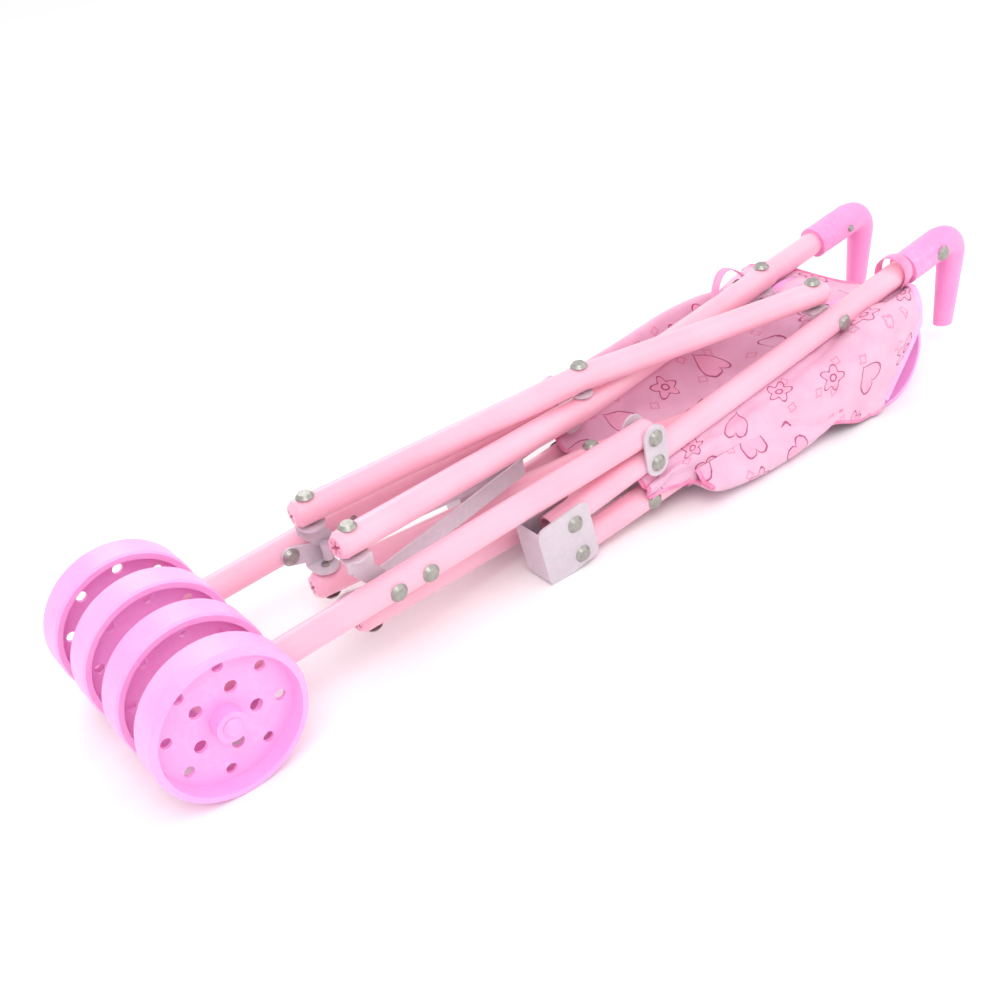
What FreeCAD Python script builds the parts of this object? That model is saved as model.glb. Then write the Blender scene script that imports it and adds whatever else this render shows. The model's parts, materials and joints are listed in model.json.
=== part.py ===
import FreeCAD, Part
import math
import os
import Sketcher
from FreeCAD import Placement, Rotation, Vector

# Folding doll stroller, lying folded on its wheels.  Millimetres.
# +X runs from the rear wheels to the handles, +Y is the stroller's left, +Z is up.
# Every piece is laid out in the leg frame: its origin is the rear axle, its X axis is
# the rear legs' centre line, and the whole frame is tilted until both axles' wheels touch
# the ground.

doc = FreeCAD.newDocument("doll_stroller")
sheet = doc.addObject("Spreadsheet::Sheet", "Sizes")

SIZES = {
    # overall stance
    "middle_shift": 247.55, "side_offset": 34.5,
    # tubes
    "tube_dia": 14.5, "tube_wall": 1.2,
    "leg_span": 264.5, "front_span": 231.0, "front_bare_rivet_at": 54.0,
    "rear_bare_rivet_at": 118.9,
    "back_tilt": 5.1, "front_tilt": 1.9,
    "link_drop": 15.5, "knee_setback": 60.0, "knee_drop": 20.0, "back_tail": 10.5,
    # wheels and axles
    "rear_wheel_dia": 75.0, "rear_rim_width": 17.5,
    "front_wheel_dia": 60.0, "front_rim_width": 14.0,
    "wheel_gap": 0.75, "web_thickness": 2.0, "rim_edge": 0.8, "wheel_rest_turn": 11.0,
    "axle_dia": 5.0, "axle_cap_dia": 9.2, "axle_cap_top": 6.8, "axle_cap_rise": 1.4,
    # knee channel, plates and tabs
    "knee_up": 9.5, "knee_under": 7.0, "knee_ahead": 10.5, "knee_behind": 23.5, "knee_corner": 5.0,
    "plate": 1.5, "plate_gap": 0.35, "plate_slack": 0.15, "link_width": 15.0, "tab_width": 10.0,
    "tab_skirt": 6.5, "layer_gap": 1.0, "ear_gap": 0.9, "ear_half": 7.0, "ear_offset": 19.5,
    "nose_ear_offset": 16.5,
    # rivets
    "rivet_dia": 4.0, "rivet_head": 9.5, "rivet_rise": 1.9, "rivet_slope": 1.6,
    "tail_dia": 4.5, "tail_rise": 1.2, "tail_slope": 0.5, "flush_depth": 0.6, "wall_bulge": 0.5,
    "running_gap": 0.05,
    # crossed tubes
    "upper_foot_at": 100.2, "upper_ear_at": 93.7, "upper_foot_rise": 24.6,
    "upper_top_at": 152.4, "upper_top_rise": 12.1,
    "lower_foot_at": 80.0, "lower_ear_at": 93.0, "lower_foot_rise": -20.0,
    "lower_front_at": 177.0, "lower_front_ahead": 6.0, "lower_front_rise": -9.3,
    "cross_bow": 8.8, "cross_tail": 9.0, "cross_cap": 3.0, "cap_slope": 2.0,
    "star_length": 7.6, "star_width": 1.3, "star_depth": 3.0, "spacer_dia": 12.0,
    "spacer_top_gap": 0.65, "spacer_low_gap": 0.75,
    # cross strap
    "strap_half": 112.0, "strap_width": 10.0, "strap_plate": 1.2,
    "strap_at": 97.0, "strap_lift": -3.5, "strap_out": 20.5, "strap_meet": 2.2, "strap_eye_dia": 4.8,
    # grips and seat
    "grip_at": 214.6, "grip_socket": 34.0, "grip_wall": 2.5, "grip_drop": 56.0, "grip_bend": 11.0,
    "grip_pin_in": 25.0, "grip_overlap": 6.0, "tube_short_of_bend": 4.0,
    "seat_half": 60.0, "seat_cloth": 1.5, "seat_floor_start": 292.0, "seat_floor_end": 399.0,
    "seat_front_floor": -51.8, "seat_back_floor": -56.5,
}
for row, (alias, value) in enumerate(SIZES.items(), start=1):
    sheet.set("A%d" % row, alias)
    sheet.set("B%d" % row, str(value))
    sheet.setAlias("B%d" % row, alias)
doc.recompute()


def size(alias):
    return float(getattr(sheet, alias))


X, Y, Z = Vector(1, 0, 0), Vector(0, 1, 0), Vector(0, 0, 1)
SIDES = {"right": -1, "left": 1}
RADIUS = size("tube_dia") / 2
OFFSET = size("side_offset")
PARTS = []


def turned(point, angle):
    """A point of the X-Z plane turned upwards about the origin."""
    c, s = math.cos(math.radians(angle)), math.sin(math.radians(angle))
    return Vector(point.x * c - point.z * s, 0, point.x * s + point.z * c)


# ---- key points of the mechanism, in the leg frame --------------------------------------

REAR_AXLE = Vector(0, 0, 0)
LINK_LEG = Vector(size("leg_span"), 0, 0)
LINK_BACK = Vector(size("leg_span"), 0, -size("link_drop"))
BACK_TILT = size("back_tilt")
FRONT_TILT = size("front_tilt")


def on_back(distance, rise=0.0):
    """A point of the back tube, measured from its link pivot towards the handles."""
    return LINK_BACK.add(turned(Vector(distance, 0, rise), BACK_TILT))


KNEE_BACK = on_back(-size("knee_setback"))
KNEE_FRONT = on_back(-size("knee_setback"), -size("knee_drop"))


def on_front(distance, rise=0.0):
    """A point of the front leg, measured from its knee pivot towards the wheel."""
    return KNEE_FRONT.add(turned(Vector(distance, 0, rise), FRONT_TILT))


FRONT_AXLE = on_front(size("front_span"))
BARE_PIN = on_front(size("front_bare_rivet_at"))
GRIP_PIN = on_back(size("grip_at") + size("grip_pin_in"))
TOP_PIN = on_back(size("upper_top_at"))
TOP_EAR = on_back(size("upper_top_at"), size("upper_top_rise"))
FOOT_PIN = Vector(size("upper_foot_at"), 0, 0)
FOOT_EAR = Vector(size("upper_ear_at"), 0, size("upper_foot_rise"))
LOWER_PIN = Vector(size("lower_foot_at"), 0, 0)
REAR_BARE_PIN = Vector(size("rear_bare_rivet_at"), 0, 0)
LOWER_EAR = Vector(size("lower_ear_at"), 0, size("lower_foot_rise"))
NOSE_PIN = on_front(size("lower_front_at"))
NOSE_EAR = on_front(size("lower_front_at") + size("lower_front_ahead"), size("lower_front_rise"))
UPPER_TILT = math.degrees(math.atan2(TOP_EAR.z - FOOT_EAR.z, TOP_EAR.x - FOOT_EAR.x))
LOWER_TILT = math.degrees(math.atan2(NOSE_EAR.z - LOWER_EAR.z, NOSE_EAR.x - LOWER_EAR.x))

# The leg frame tilts until the rims of both wheel sizes stand on the ground.
DROP = (size("front_wheel_dia") - size("rear_wheel_dia")) / 2
REST_TILT = math.degrees(math.asin(DROP / math.hypot(FRONT_AXLE.x, FRONT_AXLE.z))
                         - math.atan2(FRONT_AXLE.z, FRONT_AXLE.x))
STANCE = Placement(
    Vector(-size("middle_shift"), 0, size("rear_wheel_dia") / 2), Rotation(Y, -REST_TILT))


def at(x, y, z, turn=None):
    """Placement of a piece whose own frame sits at a point of the leg frame."""
    return STANCE.multiply(Placement(Vector(x, y, z), turn or Rotation()))


def along(start, end):
    """Rotation that turns +Z onto the direction from start to end."""
    return Rotation(Z, end.sub(start))


def keep(obj, label):
    obj.Label = label
    PARTS.append(obj)
    return obj


# ---- Part primitives whose sizes are bound to the sheet --------------------------------

def cylinder(radius, height, place, name="rod"):
    rod = doc.addObject("Part::Cylinder", name)
    rod.setExpression("Radius", radius)
    rod.setExpression("Height", height)
    rod.Placement = place
    return rod


def ball(radius, place, name="ball"):
    knob = doc.addObject("Part::Sphere", name)
    knob.setExpression("Radius", radius)
    knob.Placement = place
    return knob


def join(pieces, name="join"):
    if len(pieces) == 1:
        return pieces[0]
    fused = doc.addObject("Part::MultiFuse", name)
    fused.Shapes = pieces
    return fused


def cut(base, tools, name="cut"):
    result = doc.addObject("Part::Cut", name)
    result.Base = base
    result.Tool = join(tools, name + "_tools")
    return result


def group(pieces, label):
    """Several separate solids of one kind, kept as one node."""
    bunch = doc.addObject("Part::Compound", label)
    bunch.Links = pieces
    return keep(bunch, label)


def side_point(point, y):
    return Vector(point.x, y, point.z)


# ---- rivets -----------------------------------------------------------------------------

def rivet_solid(start, end, name, tail=True):
    """A shank from start to end with a conical head past its end and, unless it stops inside
    a tube, a small clenched tail past its start."""
    turn = along(start, end)
    shank = rod_between(start, end, "Sizes.rivet_dia / 2", name + "_shank")
    head = doc.addObject("Part::Cone", name + "_head")
    head.setExpression("Radius1", "Sizes.rivet_head / 2")
    head.setExpression("Radius2", "Sizes.rivet_head / 2 - Sizes.rivet_slope")
    head.setExpression("Height", "Sizes.rivet_rise")
    head.Placement = at(end.x, end.y, end.z, turn)
    pieces = [shank, head]
    if tail:
        clench = doc.addObject("Part::Cone", name + "_tail")
        clench.setExpression("Radius1", "Sizes.tail_dia / 2")
        clench.setExpression("Radius2", "Sizes.tail_dia / 2 - Sizes.tail_slope")
        clench.setExpression("Height", "Sizes.tail_rise")
        clench.Placement = at(start.x, start.y, start.z, turn.multiply(Rotation(X, 180)))
        pieces.append(clench)
    return join(pieces, name)


def drill(point, direction, length, name="drill"):
    """A running hole for a rivet, centred on a point."""
    half = direction * (length / 2)
    start, end = point.sub(half), point.add(half)
    return cylinder("Sizes.rivet_dia / 2 + Sizes.running_gap", "%s" % length,
                    at(start.x, start.y, start.z, along(start, end)), name)


# ---- tubes --------------------------------------------------------------------------------

def rod_between(start, end, radius, name):
    rod = doc.addObject("Part::Cylinder", name)
    rod.setExpression("Radius", radius)
    rod.Height = start.distanceToPoint(end)
    rod.Placement = at(start.x, start.y, start.z, along(start, end))
    return rod


OUTER = "Sizes.tube_dia / 2"
INNER = "Sizes.tube_dia / 2 - Sizes.tube_wall"
THROUGH = 4 * RADIUS


def straight_tube(label, start, end, holes, open_ends):
    """A hollow tube with open or domed ends, drilled for its rivets."""
    shells = [rod_between(start, end, OUTER, label + "_run")]
    cores = [rod_between(start, end, INNER, label + "_core")]
    way = end.sub(start).normalize()
    for name, p, out in (("start", start, way * -1), ("end", end, way)):
        if open_ends:
            cores.append(rod_between(p, p.add(out), INNER, "%s_mouth_%s" % (label, name)))
        else:
            shells.append(ball(OUTER, at(p.x, p.y, p.z), "%s_dome_%s" % (label, name)))
    body = cut(join(shells, label + "_shell"), [join(cores, label + "_cores")], label + "_bored")
    keep(cut(body, holes, label + "_drilled"), label)


def side_holes(points, sign):
    return [drill(side_point(p, sign * OFFSET), Y, THROUGH) for p in points]


def axle_hole(centre, sign):
    return cylinder("Sizes.axle_dia / 2 + Sizes.running_gap", "Sizes.tube_dia * 2",
                    at(centre.x, sign * OFFSET - RADIUS * 2, centre.z, Rotation(X, -90)), "axle_hole")


def back_tube(side, sign):
    start = on_back(-size("knee_setback") - size("back_tail"))
    end = on_back(size("grip_at") + size("grip_socket") - size("tube_short_of_bend"))
    pins = [KNEE_BACK, LINK_BACK, TOP_PIN, GRIP_PIN]
    straight_tube("back_tube_" + side, side_point(start, sign * OFFSET), side_point(end, sign * OFFSET),
                  side_holes(pins, sign), open_ends=True)


def rear_leg(side, sign):
    pins = [LINK_LEG, FOOT_PIN, REAR_BARE_PIN]
    blind = drill(side_point(LOWER_PIN, sign * (OFFSET - RADIUS)), Y, RADIUS)
    straight_tube("rear_leg_" + side,
                  side_point(REAR_AXLE, sign * OFFSET), side_point(LINK_LEG, sign * OFFSET),
                  side_holes(pins, sign) + [blind, axle_hole(REAR_AXLE, sign)], open_ends=False)


def front_leg(side, sign):
    pins = [KNEE_FRONT, BARE_PIN, NOSE_PIN]
    straight_tube("front_leg_" + side,
                  side_point(KNEE_FRONT, sign * OFFSET), side_point(FRONT_AXLE, sign * OFFSET),
                  side_holes(pins, sign) + [axle_hole(FRONT_AXLE, sign)], open_ends=False)


# ---- plates -----------------------------------------------------------------------------

def pill(start, end, width, inner_y, outer_y, name):
    """A flat bar with rounded ends in the X-Z plane, between two Y planes."""
    low, high = min(inner_y, outer_y), max(inner_y, outer_y)
    run = end.sub(start)
    angle = math.degrees(math.atan2(run.z, run.x))
    bar = doc.addObject("Part::Box", name + "_bar")
    bar.Length = start.distanceToPoint(end)
    bar.Width = high - low
    bar.Height = width
    corner = start.add(turned(Vector(0, 0, -width / 2), angle))
    bar.Placement = at(corner.x, low, corner.z, Rotation(Y, -angle))
    ends = []
    for p in (start, end):
        disc = doc.addObject("Part::Cylinder", name + "_end")
        disc.Radius = width / 2
        disc.Height = high - low
        disc.Placement = at(p.x, low, p.z, Rotation(X, -90))
        ends.append(disc)
    return join([bar] + ends, name)


PLATE = size("plate")
GAP = size("plate_gap")
EAR_GAP = size("ear_gap")
OUTER_FACE = OFFSET + RADIUS + GAP
INNER_FACE = OFFSET - RADIUS - GAP
SHORT_DRILL = 6 * PLATE


def link_straps(side, sign):
    """Two straps, outside and inside the tubes, that hang the back tube from the rear leg."""
    straps = []
    for tag, face in (("outer", OUTER_FACE), ("inner", INNER_FACE - PLATE)):
        bar = pill(LINK_BACK, LINK_LEG, size("link_width"), sign * face, sign * (face + PLATE),
                   tag + "_link")
        holes = [drill(side_point(p, sign * (face + PLATE / 2)), Y, SHORT_DRILL)
                 for p in (LINK_BACK, LINK_LEG)]
        straps.append(cut(bar, holes, tag + "_link_" + side))
    group(straps, "link_straps_" + side)


def knee_strap(side, sign):
    """A channel folded round both tubes of the knee, closed behind them."""
    tall = size("knee_drop") + size("knee_up") + size("knee_under")
    wide = 2 * (RADIUS + GAP + PLATE)
    base_y = sign * OFFSET - wide / 2
    behind, ahead, under = size("knee_behind"), size("knee_ahead"), size("knee_under")

    def upright(name, first, last, low, high, inset):
        corner = KNEE_FRONT.add(turned(Vector(first, 0, low), BACK_TILT))
        box = doc.addObject("Part::Box", name)
        box.Length, box.Width, box.Height = last - first, wide - 2 * inset, high - low
        box.Placement = at(corner.x, base_y + inset, corner.z, Rotation(Y, -BACK_TILT))
        return box

    shell = upright("knee_shell", -behind, ahead, -under, tall - under, 0)
    hollow = upright("knee_hollow", PLATE - behind, 2 * ahead, -2 * under, tall, PLATE)
    rounded = doc.addObject("Part::Fillet", "knee_rounded")
    rounded.Base = shell
    doc.recompute()
    along_y = []
    for number, edge in enumerate(shell.Shape.Edges, start=1):
        run = edge.Vertexes[0].Point.sub(edge.Vertexes[-1].Point)
        if abs(run.y) > wide - 0.1:
            along_y.append((number, size("knee_corner"), size("knee_corner")))
    rounded.Edges = along_y
    holes = [drill(side_point(p, sign * OFFSET), Y, 2 * wide) for p in (KNEE_BACK, KNEE_FRONT)]
    keep(cut(rounded, [hollow] + holes, "knee_" + side), "knee_strap_" + side)


def tab(label, sign, pin, ear, ear_side, tilt, layer=0, pin_hole=True, reach="ear_offset"):
    """A bent tab: a web beside the side tube and an ear square to it that carries a crossed
    tube.  ear_side is +1 where the tube lies above the ear and -1 where it lies below.  The
    webs of two tabs on one tube lie in different layers."""
    web_y = INNER_FACE - PLATE - layer * (PLATE + size("layer_gap"))
    half, reach, skirt = size("ear_half"), size(reach), size("tab_skirt")

    def beside_ear(x, z):
        return ear.add(turned(Vector(x, 0, z), tilt))

    face = -ear_side * (RADIUS + EAR_GAP)
    low = min(face, face - ear_side * PLATE)
    web = pill(pin, beside_ear(0, face - ear_side * half), size("tab_width"),
               sign * web_y, sign * (web_y + PLATE), label + "_web")
    shoulder = plate_box(label + "_shoulder", beside_ear(-half, face if ear_side < 0 else face - skirt),
                         2 * half, skirt, sign * web_y, sign * (web_y + PLATE), tilt)
    flap = plate_box(label + "_ear", beside_ear(-half, low), 2 * half, PLATE,
                     sign * reach, sign * (web_y + PLATE), tilt)
    nose = doc.addObject("Part::Cylinder", label + "_nose")
    nose.Radius, nose.Height = half, PLATE
    middle = beside_ear(0, low)
    nose.Placement = at(middle.x, sign * reach, middle.z, Rotation(Y, -tilt))
    ear_middle = side_point(beside_ear(0, low + PLATE / 2), sign * reach)
    tools = [drill(ear_middle, turned(Z, tilt), SHORT_DRILL)]
    if pin_hole:
        tools.append(drill(side_point(pin, sign * (web_y + PLATE / 2)), Y, SHORT_DRILL))
    keep(cut(join([web, shoulder, flap, nose], label + "_solid"), tools, label), label)


def plate_box(name, corner, length, height, y_one, y_two, tilt):
    box = doc.addObject("Part::Box", name)
    box.Length, box.Width, box.Height = length, abs(y_two - y_one), height
    box.Placement = at(corner.x, min(y_one, y_two), corner.z, Rotation(Y, -tilt))
    return box


# ---- crossed tubes ----------------------------------------------------------------------

def star(point, direction, name):
    """The pinched mouth of a closed tube end: three crossed slots."""
    slots = []
    inner = point.sub(direction * size("star_depth"))
    place = at(inner.x, inner.y, inner.z, Rotation(Z, direction))
    centring = Placement(Vector(-size("star_length") / 2, -size("star_width") / 2, 0), Rotation())
    for turn in (0, 60, 120):
        slot = doc.addObject("Part::Box", name)
        slot.setExpression("Length", "Sizes.star_length")
        slot.setExpression("Width", "Sizes.star_width")
        slot.setExpression("Height", "Sizes.star_depth * 2")
        slot.Placement = place.multiply(Placement(Vector(), Rotation(Z, turn))).multiply(centring)
        slots.append(slot)
    return slots


def crossed_tube(label, start, end, bow):
    """One tube of an X, from its pivot on one side to its pivot on the other, bowed at the
    crossing so that the pair passes clear.  Returns its bend point and its plane's normal."""
    run = end.sub(start)
    middle = start.add(run * (-start.y / run.y))
    normal = Vector(-run.z, 0, run.x).normalize()
    bend = middle.add(normal * bow)
    first = start.sub(bend).normalize()
    last = end.sub(bend).normalize()
    tail = size("cross_tail") - size("cross_cap")
    points = [start.add(first * tail), bend, end.add(last * tail)]
    holes = [drill(p, normal, THROUGH) for p in (start, end, bend)]
    stars, shells, cores = [], [], []
    for number, (a, b) in enumerate(zip(points, points[1:])):
        shells.append(rod_between(a, b, OUTER, "%s_run%d" % (label, number)))
    for number, (a, b) in enumerate(((start, bend), (bend, end))):
        cores.append(rod_between(a, b, INNER, "%s_core%d" % (label, number)))
    for number, (p, way) in enumerate(((points[0], first), (points[-1], last))):
        cap = doc.addObject("Part::Cone", "%s_cap%d" % (label, number))
        cap.setExpression("Radius1", OUTER)
        cap.setExpression("Radius2", OUTER + " - Sizes.cap_slope")
        cap.setExpression("Height", "Sizes.cross_cap")
        cap.Placement = at(p.x, p.y, p.z, Rotation(Z, way))
        shells.append(cap)
        stars += star(p.add(way * size("cross_cap")), way, "%s_star%d" % (label, number))
    shells.append(ball(OUTER, at(bend.x, bend.y, bend.z), label + "_knuckle"))
    cores.append(ball(INNER, at(bend.x, bend.y, bend.z), label + "_bore"))
    body = cut(join(shells, label + "_shell"), [join(cores, label + "_cores")], label + "_bored")
    keep(cut(body, holes + stars, label + "_drilled"), label)
    return bend, normal


def crossed_pair(name, foot, top, ear_side, top_reach):
    """Two crossed tubes with their end rivets, the rivet at the crossing and its spacer."""
    foot_reach, top_reach = size("ear_offset"), size(top_reach)
    over_side = "right" if ear_side > 0 else "left"
    bends = {}
    for side, sign in SIDES.items():
        foot_sign = -sign if ear_side > 0 else sign
        low = side_point(foot, foot_sign * foot_reach)
        high = side_point(top, -foot_sign * top_reach)
        over = side == over_side
        bow = size("cross_bow") if over else -size("cross_bow")
        bends[over], normal = crossed_tube("%s_cross_tube_%s" % (name, side), low, high, bow)
        rivets = []
        for number, p in enumerate((low, high)):
            far = p.add(normal * (ear_side * (RADIUS + 2 * size("plate_slack"))))
            ear_back = RADIUS + EAR_GAP + PLATE + size("plate_slack")
            near = p.sub(normal * (ear_side * ear_back))
            rivets.append(rivet_solid(near, far, "%s_rivet_%s%d" % (name, side, number)))
        group(rivets, "%s_cross_rivets_%s" % (name, side))
    top_of_tube = bends[True].add(normal * (RADIUS + size("plate_slack")))
    foot_of_tube = bends[True].sub(normal * (RADIUS + size("plate_slack")))
    keep(rivet_solid(foot_of_tube, top_of_tube, name + "_pivot", tail=False), name + "_cross_pivot")
    spacer_top = bends[True].sub(normal * (RADIUS + size("spacer_top_gap")))
    spacer_low = bends[False].add(normal * (RADIUS + size("spacer_low_gap")))
    keep(rod_between(spacer_low, spacer_top, "Sizes.spacer_dia / 2", name + "_spacer"),
         name + "_cross_spacer")


# ---- wheels -----------------------------------------------------------------------------

def plane(body, role):
    return [f for f in body.Origin.OriginFeatures if f.Role == role][0]


def sketch_on(body, role, name):
    sketch = body.newObject("Sketcher::SketchObject", name)
    sketch.AttachmentSupport = [(plane(body, role), "")]
    sketch.MapMode = "FlatFace"
    return sketch


def polyline(sketch, corners, tie):
    """A closed outline whose corners are tied to the sheet: tie gives each corner's two
    distances from the sketch origin as expressions."""
    count = len(corners)
    for a, b in zip(corners, corners[1:] + corners[:1]):
        sketch.addGeometry(Part.LineSegment(Vector(a[0], a[1], 0), Vector(b[0], b[1], 0)), False)
    for number in range(count):
        sketch.addConstraint(Sketcher.Constraint("Coincident", number, 2, (number + 1) % count, 1))
    for number, (ex, ey) in enumerate(tie):
        x, y = corners[number]
        for kind, value, text in (("DistanceX", x, ex), ("DistanceY", y, ey)):
            index = sketch.addConstraint(Sketcher.Constraint(kind, -1, 1, number, 1, value))
            sketch.setExpression("Constraints[%d]" % index, text)


# Shares of a wheel's radius: the inside of its rim and that rim's lip, and the hub's outside.
RIM_INSIDE, RIM_LIP, HUB_OUTSIDE = 0.88, 0.906, 0.2
# Rings of holes in the web: name, place and hole radius as shares of the radius, and count.
HOLE_RINGS = (("outer", 0.722, 0.072, 8), ("inner", 0.41, 0.085, 5))


def wheel_outline(dia, width):
    """Corners of half a wheel's section, and the same corners as expressions."""
    radius, half = size(dia) / 2, size(width) / 2
    bore = size("axle_dia") / 2 + size("running_gap")
    across = {"bore": ("(Sizes.axle_dia / 2 + Sizes.running_gap)", bore),
              "full": ("(Sizes.%s / 2)" % dia, radius),
              "edge": ("(Sizes.%s / 2 - Sizes.rim_edge)" % dia, radius - size("rim_edge"))}
    for name, share in (("hub", HUB_OUTSIDE), ("rim", RIM_INSIDE), ("lip", RIM_LIP)):
        across[name] = ("(Sizes.%s / 2 * %s)" % (dia, share), radius * share)
    high = {"web": ("Sizes.web_thickness / 2", size("web_thickness") / 2),
            "face": ("Sizes.%s / 2" % width, half),
            "slope": ("(Sizes.%s / 2 - 2 * Sizes.rim_edge)" % width, half - 2 * size("rim_edge"))}
    upper_side = [("full", "slope"), ("edge", "face"), ("lip", "face"), ("rim", "web"), ("hub", "web"),
                  ("hub", "face"), ("bore", "face")]
    corners, tie = [], []
    for mark, walk in ((1, upper_side), (-1, upper_side[::-1])):
        for x, y in walk:
            corners.append((across[x][1], mark * high[y][1]))
            tie.append((across[x][0], high[y][0] if mark > 0 else "-" + high[y][0]))
    return corners, tie


def wheel(label, dia, width, place):
    """A moulded wheel that turns about its own Y axis: rim, thin web and hub, with a ring of
    eight small holes and five larger ones inside it."""
    body = doc.addObject("PartDesign::Body", label + "_body")
    radius = size(dia) / 2
    profile = sketch_on(body, "XY_Plane", label + "_profile")
    polyline(profile, *wheel_outline(dia, width))
    spin = body.newObject("PartDesign::Revolution", label + "_turned")
    spin.Profile = profile
    spin.ReferenceAxis = (profile, ["V_Axis"])
    spin.Angle = 360
    for tag, reach, hole, count in HOLE_RINGS:
        ring = sketch_on(body, "XZ_Plane", "%s_%s_hole" % (label, tag))
        ring.addGeometry(Part.Circle(Vector(radius * reach, 0, 0), Z, radius * hole), False)
        index = ring.addConstraint(Sketcher.Constraint("Radius", 0, radius * hole))
        ring.setExpression("Constraints[%d]" % index, "Sizes.%s / 2 * %s" % (dia, hole))
        index = ring.addConstraint(Sketcher.Constraint("DistanceX", -1, 1, 0, 3, radius * reach))
        ring.setExpression("Constraints[%d]" % index, "Sizes.%s / 2 * %s" % (dia, reach))
        ring.addConstraint(Sketcher.Constraint("PointOnObject", 0, 3, -1))
        pocket = body.newObject("PartDesign::Pocket", "%s_%s_pocket" % (label, tag))
        pocket.Profile = ring
        pocket.Type = "Length"
        pocket.setExpression("Length", "Sizes.web_thickness * 3")
        pocket.Midplane = True
        doc.recompute()
        pattern = body.newObject("PartDesign::PolarPattern", "%s_%s_ring" % (label, tag))
        pattern.Originals = [pocket]
        pattern.Axis = (plane(body, "Y_Axis"), [""])
        pattern.Angle = 360
        pattern.Occurrences = count
        body.Tip = pattern
        doc.recompute()
    body.Placement = place
    keep(body, label)


def wheel_pair(end, side, sign, centre, dia, width):
    """Two wheels, one each side of a leg, on one axle."""
    step = RADIUS + size("wheel_gap") + size(width) / 2
    rest_turn = Rotation(Y, size("wheel_rest_turn"))
    for tag, shift in (("outer", step), ("inner", -step)):
        wheel("%s_wheel_%s_%s" % (end, tag, side), dia, width,
              at(centre.x, sign * (OFFSET + shift), centre.z, rest_turn))
    reach = step + size(width) / 2 + GAP
    y = sign * OFFSET
    pieces = [rod_between(side_point(centre, y - reach), side_point(centre, y + reach),
                          "Sizes.axle_dia / 2", "%s_axle_rod_%s" % (end, side))]
    for flip in (-1, 1):
        cap = doc.addObject("Part::Cone", "%s_axle_cap" % end)
        cap.setExpression("Radius1", "Sizes.axle_cap_dia / 2")
        cap.setExpression("Radius2", "Sizes.axle_cap_top / 2")
        cap.setExpression("Height", "Sizes.axle_cap_rise")
        cap.Placement = at(centre.x, y + flip * reach, centre.z, Rotation(X, -90 * flip))
        pieces.append(cap)
    keep(join(pieces, "%s_axle_solid_%s" % (end, side)), "%s_axle_%s" % (end, side))


# ---- rivets of the side tubes -------------------------------------------------------------

def side_rivets(label, sign, pins):
    """Rivets across one side tube.  Each pin gives its point and what it passes through:
    "plate" where a plate lies on both sides, "tab" where one lies inside, "bare" where none
    does, "flush" where it stops inside the tube wall, "blind" where it holds a tab to the inner
    wall alone, and "grip" where it holds the grip."""
    past_plate = PLATE + size("plate_slack")
    past_grip = size("grip_wall") + size("plate_slack")
    outer_faces = {"plate": OUTER_FACE + past_plate, "grip": OFFSET + RADIUS + past_grip}
    inner_faces = {"plate": INNER_FACE - past_plate, "tab": INNER_FACE - past_plate,
                   "bare": OFFSET - RADIUS, "flush": OFFSET - RADIUS + size("flush_depth"),
                   "blind": INNER_FACE - past_plate, "grip": OFFSET - RADIUS - past_grip}
    inner_wall = OFFSET - RADIUS + size("tube_wall") + size("wall_bulge")
    solids = []
    for number, (point, kind) in enumerate(pins):
        outer = outer_faces.get(kind, OFFSET + RADIUS)
        start, end = side_point(point, sign * inner_faces[kind]), side_point(point, sign * outer)
        if kind == "blind":
            start, end = side_point(point, sign * inner_wall), start
        solids.append(rivet_solid(start, end, "%s_rivet%d" % (label, number), kind != "flush"))
    group(solids, label)


# ---- cross strap ---------------------------------------------------------------------------

def strap_half(side, sign):
    """One half of the flat strap that limits how far the rear legs spread, folded in a V."""
    out, low = size("strap_out"), size("strap_lift") - size("strap_width") / 2
    inward = math.degrees(math.asin((out - size("strap_meet")) / size("strap_half")))
    bar = doc.addObject("Part::Box", "strap_bar")
    bar.setExpression("Length", "Sizes.strap_half")
    bar.setExpression("Width", "Sizes.strap_plate")
    bar.setExpression("Height", "Sizes.strap_width")
    turn = Rotation(Z, -sign * inward)
    start = Vector(size("strap_at"), sign * out, low)
    corner = start.add(turn.multVec(Y * (-size("strap_plate") / 2)))
    bar.Placement = at(corner.x, corner.y, corner.z, turn)
    eye = cylinder("Sizes.strap_eye_dia / 2", "Sizes.strap_width", at(start.x, start.y, start.z),
                   "strap_eye")
    keep(join([bar, eye], "strap_solid_" + side), "cross_strap_" + side)


# ---- grips -----------------------------------------------------------------------------------

# Half depth and half breadth of the hook's oval section, at its root and at its tip.
ROOT_OVAL, TIP_OVAL = (9.7, 9.4), (7.0, 5.2)
# How far the free arm leans back for each millimetre that it falls.
ARM_LEAN = 0.14


def oval(centre, direction, half_sizes):
    """A closed oval wire square to a direction of the X-Z plane."""
    wire = Part.Wire([Part.Ellipse(Vector(), *half_sizes).toShape()])
    turn = Rotation(Vector(-direction.z, 0, direction.x), Y, direction, "ZXY")
    wire.Placement = Placement(centre, turn)
    return wire


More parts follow.
